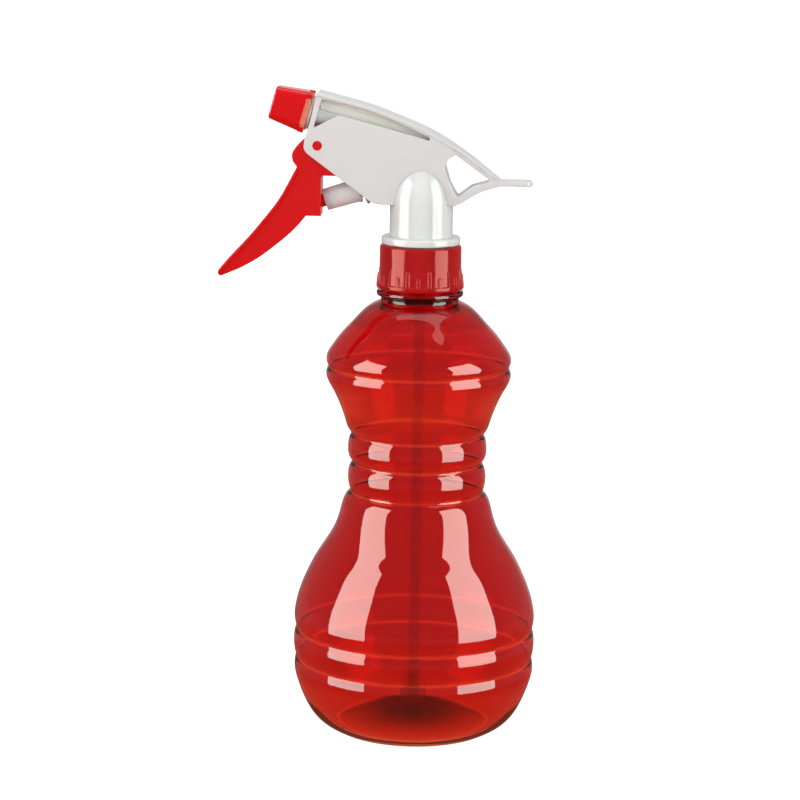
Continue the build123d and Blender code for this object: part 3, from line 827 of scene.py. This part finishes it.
def trigger():
    """The lever, hollow from behind, with its rim, its pins and the nose that meets the piston."""
    nose = [(-41.4, 230.0), (-44.6, 227.6), (-47.9, 224.2), (-48.8, 222.2), (-48.5, 219.7)]
    heel = [(-37.7, 199.1), (-37.7, 213.8), (-37.0, 214.4), (-32.3, 214.4), (-31.6, 216.2),
            (-35.2, 223.6), (-35.6, 227.6), (-38.0, 230.0)]
    outline = closed_line([nose, LEVER_FRONT, LEVER_TIP, LEVER_BACK] + [[p] for p in heel], 0.8)
    lever = prism("trigger_lever", [outline], LEVER_Y, 0.45)
    rim_back = [(x + 1.1, z - 0.7) for x, z in reversed(LEVER_FRONT)]
    rim = prism("rim", [closed_line([LEVER_FRONT, [LEVER_TIP[0]], rim_back], 0.8)],
                LEVER_Y + 0.7, 0.3)
    combined(lever, [
        rim,
        round_bar("pins", (PIVOT[0], -PLATE_Y, PIVOT[1]), (PIVOT[0], PLATE_Y, PIVOT[1]), PIN_R),
        round_bar("nose", along_pump(-2.4), along_pump(-0.2), 2.4)], "UNION")
    hollow_front = [(-45.6, 215.8), (-48.5, 210.6), (-52.2, 204.2), (-57.0, 197.8), (-62.2, 191.4),
                    (-67.4, 185.4), (-71.8, 180.3)]
    hollow = closed_line([hollow_front, [(-68.0, 176.0)], [(-50.0, 185.0)], [(-42.0, 195.0)],
                          [(-42.0, 213.0)]], 1.2)
    combined(lever, [prism("hollow", [hollow], LEVER_Y - LEVER_WALL, 0.0)], "DIFFERENCE")
    settled(lever)
    return finish_piece(lever, "red_pp", "trigger", "trigger")


trigger()


# ---------------------------------------------------------------- nozzle
CAP_BACK_SIDE = 15.65
CAP_FRONT_SIDE = 12.2
CAP_LONG = 14.1
CAP_EDGE = 0.7
CAP_BORE_R = 5.05
ORIFICE_R = 0.45


def square_ring(side, corner, t, steps=10):
    """A rounded square across the nozzle's axis, as points in millimetres."""
    along = Vector((-math.cos(NOZZLE_TILT), 0, math.sin(NOZZLE_TILT)))
    across = Vector((0, 1, 0))
    up = across.cross(along)
    root = Vector((NOZZLE_ROOT[0], 0, NOZZLE_ROOT[1]))
    ring = []
    for quarter in range(4):
        for k in range(steps + 1):
            angle = math.radians(90 * quarter + 90 * k / steps)
            u = corner * math.cos(angle)
            v = corner * math.sin(angle)
            u += (side / 2 - corner) * (1 if quarter in (0, 3) else -1)
            v += (side / 2 - corner) * (1 if quarter in (0, 1) else -1)
            ring.append(root + along * t + across * u + up * v)
    return ring


def lofted(name, rings):
    """A mesh through rings of as many points each, its ends closed by flat faces."""
    bm = bmesh.new()
    rows = []
    for ring in rings:
        rows.append([bm.verts.new(point * MM) for point in ring])
    count = len(rings[0])
    for low, high in zip(rows, rows[1:]):
        for k in range(count):
            n = (k + 1) % count
            bm.faces.new((low[k], low[n], high[n], high[k]))
    bm.faces.new(rows[0])
    bm.faces.new(rows[-1])
    bmesh.ops.recalc_face_normals(bm, faces=bm.faces)
    mesh = bpy.data.meshes.new(name)
    bm.to_mesh(mesh)
    bm.free()
    return new_object(name, mesh)


def cap_side(t):
    """The side of the square cap at distance t along the nozzle's axis."""
    return CAP_BACK_SIDE + (CAP_FRONT_SIDE - CAP_BACK_SIDE) * t / CAP_LONG


def nozzle_cap():
    """The square cap, the thin skirt behind it and the skirt's four corners."""
    front_t = 13.4
    front_side = cap_side(front_t)
    rings = [square_ring(cap_side(1.8) - 0.3, 3.0, 1.82), square_ring(cap_side(1.95), 3.15, 1.97)]
    rings.append(square_ring(front_side, 2.7, front_t))
    for k in range(1, 6):
        angle = math.radians(90 * k / 5)
        rings.append(square_ring(front_side - 2 * CAP_EDGE * (1 - math.cos(angle)), 2.6,
                                 front_t + CAP_EDGE * math.sin(angle)))
    shell = lofted("nozzle_cap_shell", rings)
    combined(shell, [
        round_bar("cap_bore", along_nozzle(-2), along_nozzle(8.3), CAP_BORE_R),
        round_bar("core_room", along_nozzle(8.2), along_nozzle(10.2), 3.8),
        round_bar("orifice", along_nozzle(9), along_nozzle(15), ORIFICE_R),
        round_bar("dimple", along_nozzle(13.3), along_nozzle(14.3), ORIFICE_R, 1.9)], "DIFFERENCE")
    finish_piece(settled(shell), "nozzle_red", "nozzle", "nozzle_cap")
    skirt = lofted("nozzle_cap_skirt", [square_ring(13.6, 2.8, 0.05), square_ring(14.0, 3.0, 0.3),
                                        square_ring(14.2, 3.0, 2.2)])
    combined(skirt, [round_bar("skirt_bore", along_nozzle(-2), along_nozzle(5), CAP_BORE_R)],
             "DIFFERENCE")
    # the skirt wears the red with the painted backlight
    finish_piece(settled(skirt), "nozzle_painted_backlit", "nozzle", "nozzle_cap")
    for up in (-1, 1):
        for side in (-1, 1):
            corner_block(up, side)


def corner_block(up, side):
    """One of the four corners that reach back beside the skirt."""
    normal = Vector((math.sin(NOZZLE_TILT), 0, math.cos(NOZZLE_TILT)))
    ring = []
    for u, v in ((5.72, 7.7), (5.72, 6.7), (6.7, 5.72), (7.7, 5.72), (7.5, 6.7), (6.7, 7.5)):
        ring.append(Vector((0, u * side, 0)) + normal * v * up)
    root = Vector(along_nozzle(0.05))
    front = Vector(along_nozzle(2.3))
    back_ring = [root + point for point in ring]
    front_ring = [front + point * 0.985 for point in ring]
    block = lofted("nozzle_cap_corner", [back_ring, front_ring])
    finish_piece(settled(block), "nozzle_red", "nozzle", "nozzle_cap")


nozzle_cap()


# ---------------------------------------------------------------- springs
def return_spring():
    """A coil that opens out towards the pump; the real one presses together as the piston goes in.
    """
    wire_r = 0.4
    wire_sides = 12
    coil_r = 5.0
    opening = 0.35
    turns = 4.5
    per_turn = 48
    start_s = 14.25
    length = 10.0
    drop = 0.6
    droop = math.radians(5)
    across = Vector((0, 1, 0))
    axis = Vector((math.cos(PUMP_TILT - droop), 0, math.sin(PUMP_TILT - droop)))
    up = axis.cross(across)
    start = Vector(along_pump(start_s)) - up * drop
    bm = bmesh.new()
    rows = []
    count = round(turns * per_turn)
    for i in range(count + 1):
        angle = 2 * math.pi * i / per_turn
        share = i / count
        radius = coil_r + opening * share
        out = across * math.cos(angle) + up * math.sin(angle)
        centre = start + axis * (length * share) + out * radius
        row = []
        for k in range(wire_sides):
            lean = 2 * math.pi * k / wire_sides
            point = centre + out * (wire_r * math.cos(lean)) + axis * (wire_r * math.sin(lean))
            row.append(bm.verts.new(point * MM))
        rows.append(row)
    for low, high in zip(rows, rows[1:]):
        for k in range(wire_sides):
            n = (k + 1) % wire_sides
            bm.faces.new((low[k], low[n], high[n], high[k])).smooth = True
    bm.faces.new(rows[0])
    bm.faces.new(rows[-1])
    bmesh.ops.recalc_face_normals(bm, faces=bm.faces)
    mesh = bpy.data.meshes.new("return_spring_coil")
    bm.to_mesh(mesh)
    bm.free()
    coil = new_object("return_spring_coil", mesh)
    finish_piece(coil, "spring_steel", "head", "return_spring")
    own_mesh(coil)


return_spring()


def discharge_spring():
    """The outlet's coil; the real one is pressed together by the ball as it lifts."""
    coil = new_object("discharge_spring_coil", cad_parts["discharge_spring"].data.copy())
    for face in coil.data.polygons:
        face.use_smooth = True
    finish_piece(coil, "spring_steel", "head", "discharge_spring")
    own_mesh(coil)


discharge_spring()

# the pieces whose CAD shape is shown as it is
for node, material in {
        "neck_gasket": "foam_liner", "tube_holder": "natural_pe", "dip_tube": "clear_tube",
        "tube_strainer": "clear_tube", "piston": "natural_pe", "piston_seal": "rubber_seal",
        # the spigot's white carries painted red light from the cap
        "vent_seal": "rubber_seal", "nozzle_spigot": "spigot_painted_red_light",
        "swirl_core": "natural_pe", "nozzle_seal": "rubber_seal", "inlet_ball": "glass_ball",
        "discharge_ball": "steel_ball"}.items():
    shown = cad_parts[node]
    shown.data.materials.clear()
    shown.data.materials.append(materials[material])


# ---------------------------------------------------------------- studio
def studio_floor():
    """A wide pale floor that glows like a light table."""
    mesh = bpy.data.meshes.new("floor")
    side = 12.0
    mesh.from_pydata([(-side, -side, 0), (side, -side, 0), (side, side, 0), (-side, side, 0)], [],
                     [(0, 1, 2, 3)])
    floor = new_object("floor", mesh)
    m = Nodes("pale_floor")
    m.join(m.ramp(m.noise(3, 2), [(0.3, (0.33, 0.33, 0.33)), (0.7, (0.36, 0.36, 0.36))]),
           "Base Color")
    m.set(Roughness=0.9, Emission_Color=(1, 1, 1, 1), Emission_Strength=FLOOR_GLOW)
    floor.data.materials.append(m.material)
    floor.visible_glossy = False
    floor.visible_diffuse = False
    floor.visible_shadow = False


def softbox(name, place, size, radiance, target=(0, 0, 0.12)):
    """A rectangular light that faces the target; size is (width, height) in metres."""
    light = bpy.data.lights.new(name, "AREA")
    light.shape = "RECTANGLE"
    light.size, light.size_y = size
    light.energy = radiance * 4 * size[0] * size[1]
    box = new_object(name, light)
    away = Vector(place) - Vector(target)
    box.matrix_world = Matrix.Translation(place) @ away.to_track_quat("Z", "Y").to_matrix().to_4x4()
    box.visible_camera = False
    return box


def studio_world():
    """White to the eye, and an even light on dull surfaces.

    As mirrored or seen through the plastic, it is a white backdrop behind the object, a pale
    table under it and a dim studio in front of it.
    """
    world = bpy.data.worlds.new("studio")
    bpy.context.scene.world = world
    world.use_nodes = True
    tree = world.node_tree

    def node(kind, inputs, **settings):
        made = tree.nodes.new(kind)
        for key, value in settings.items():
            setattr(made, key, value)
        for key, value in inputs.items():
            if isinstance(value, bpy.types.NodeSocket):
                tree.links.new(value, made.inputs[key])
            else:
                made.inputs[key].default_value = value
        return made.outputs[0]

    def rise(value, start, end, low, high):
        return node("ShaderNodeMapRange", {"Value": value, "From Min": start, "From Max": end,
                                           "To Min": low, "To Max": high},
                    interpolation_type="SMOOTHSTEP")

    rays = tree.nodes.new("ShaderNodeLightPath").outputs
    place = tree.nodes.new("ShaderNodeTexCoord").outputs["Generated"]
    parts = tree.nodes.new("ShaderNodeSeparateXYZ")
    tree.links.new(place, parts.inputs[0])
    behind = parts.outputs["Y"]
    through = rise(behind, -0.2, 0.5, SKY_FRONT, SKY_THROUGH)
    backdrop = rise(behind, 0.90, 1.0, SKY_GLOSS, SKY_BEHIND)
    table = rise(parts.outputs["Z"], -0.15, -0.7, SKY_GLOSS, SKY_TABLE)
    mirrored = node("ShaderNodeMath", {0: backdrop, 1: table}, operation="MAXIMUM")

    def choose(ray, otherwise, level):
        mix = tree.nodes.new("ShaderNodeMix")
        for key, value in (("Factor", rays[ray]), ("A", otherwise), ("B", level)):
            if isinstance(value, bpy.types.NodeSocket):
                tree.links.new(value, mix.inputs[key])
            else:
                mix.inputs[key].default_value = value
        return mix.outputs["Result"]

    level = choose("Is Reflection Ray", SKY_SEEN, mirrored)
    level = choose("Is Diffuse Ray", level, SKY_FILL)
    level = choose("Is Transmission Ray", level, through)
    tree.links.new(level, tree.nodes["Background"].inputs["Strength"])
    below = rise(parts.outputs["Z"], -0.10, -0.35, 0.0, 1.0)
    red_share = node("ShaderNodeMath", {0: below, 1: rays["Is Reflection Ray"]},
                     operation="MULTIPLY")
    tint = tree.nodes.new("ShaderNodeMix")
    tint.data_type = "RGBA"
    tree.links.new(red_share, tint.inputs["Factor"])
    tint.inputs["A"].default_value = (1, 1, 1, 1)
    tint.inputs["B"].default_value = (*TABLE_GLOW, 1)
    tree.links.new(tint.outputs["Result"], tree.nodes["Background"].inputs["Color"])


def camera():
    """The camera, turned so that it looks down a little and leans by its roll."""
    data = bpy.data.cameras.new("camera")
    data.lens = CAMERA_LENS
    data.sensor_width = 36
    data.clip_end = 50
    eye = new_object("camera", data)
    forward = Vector((-math.sin(CAMERA_AZIMUTH) * math.cos(CAMERA_PITCH),
                      math.cos(CAMERA_AZIMUTH) * math.cos(CAMERA_PITCH), -math.sin(CAMERA_PITCH)))
    level_right = forward.cross(Vector((0, 0, 1))).normalized()
    level_up = level_right.cross(forward)
    right = level_right * math.cos(CAMERA_ROLL) + level_up * math.sin(CAMERA_ROLL)
    up = right.cross(forward)
    turn = Matrix((right, up, -forward)).transposed().to_4x4()
    eye.matrix_world = Matrix.Translation(CAMERA_PLACE) @ turn
    bpy.context.scene.camera = eye


studio_floor()
studio_world()
# gloss mirrors some lights and dull surfaces are lit by others, so each can be set alone
side_angle = math.radians(64)
side_reach = 0.9
side_z = 0.42
side_size = (0.66, 1.16)
softbox("top_light", (0.04, 0.2, 1.3), (1.1, 0.8), TOP_LIGHT).visible_diffuse = False
dull_lights = [softbox("top_fill", (0, 0, 1.3), (0.9, 0.9), TOP_FILL),
               softbox("front_light", (0.25, -1.6, 0.5), (1.4, 1.4), FRONT_LIGHT),
               softbox("back_light", (-0.3, 1.6, 0.5), (1.4, 1.4), BACK_LIGHT)]
for side in (-1, 1):
    name = "left" if side < 0 else "right"
    place = (side * side_reach * math.sin(side_angle), -side_reach * math.cos(side_angle), side_z)
    mirrored = softbox("side_light_" + name, place, side_size, SIDE_LIGHT, (0, 0, side_z))
    mirrored.visible_diffuse = False
    mirrored.data.color = SIDE_LIGHT_COLOUR
    dull_lights.append(softbox("side_fill_" + name, place, side_size, SIDE_FILL, (0, 0, side_z)))
for light in dull_lights:
    light.visible_glossy = False
    light.visible_transmission = False
camera()
bpy.context.scene.view_settings.view_transform = "Standard"
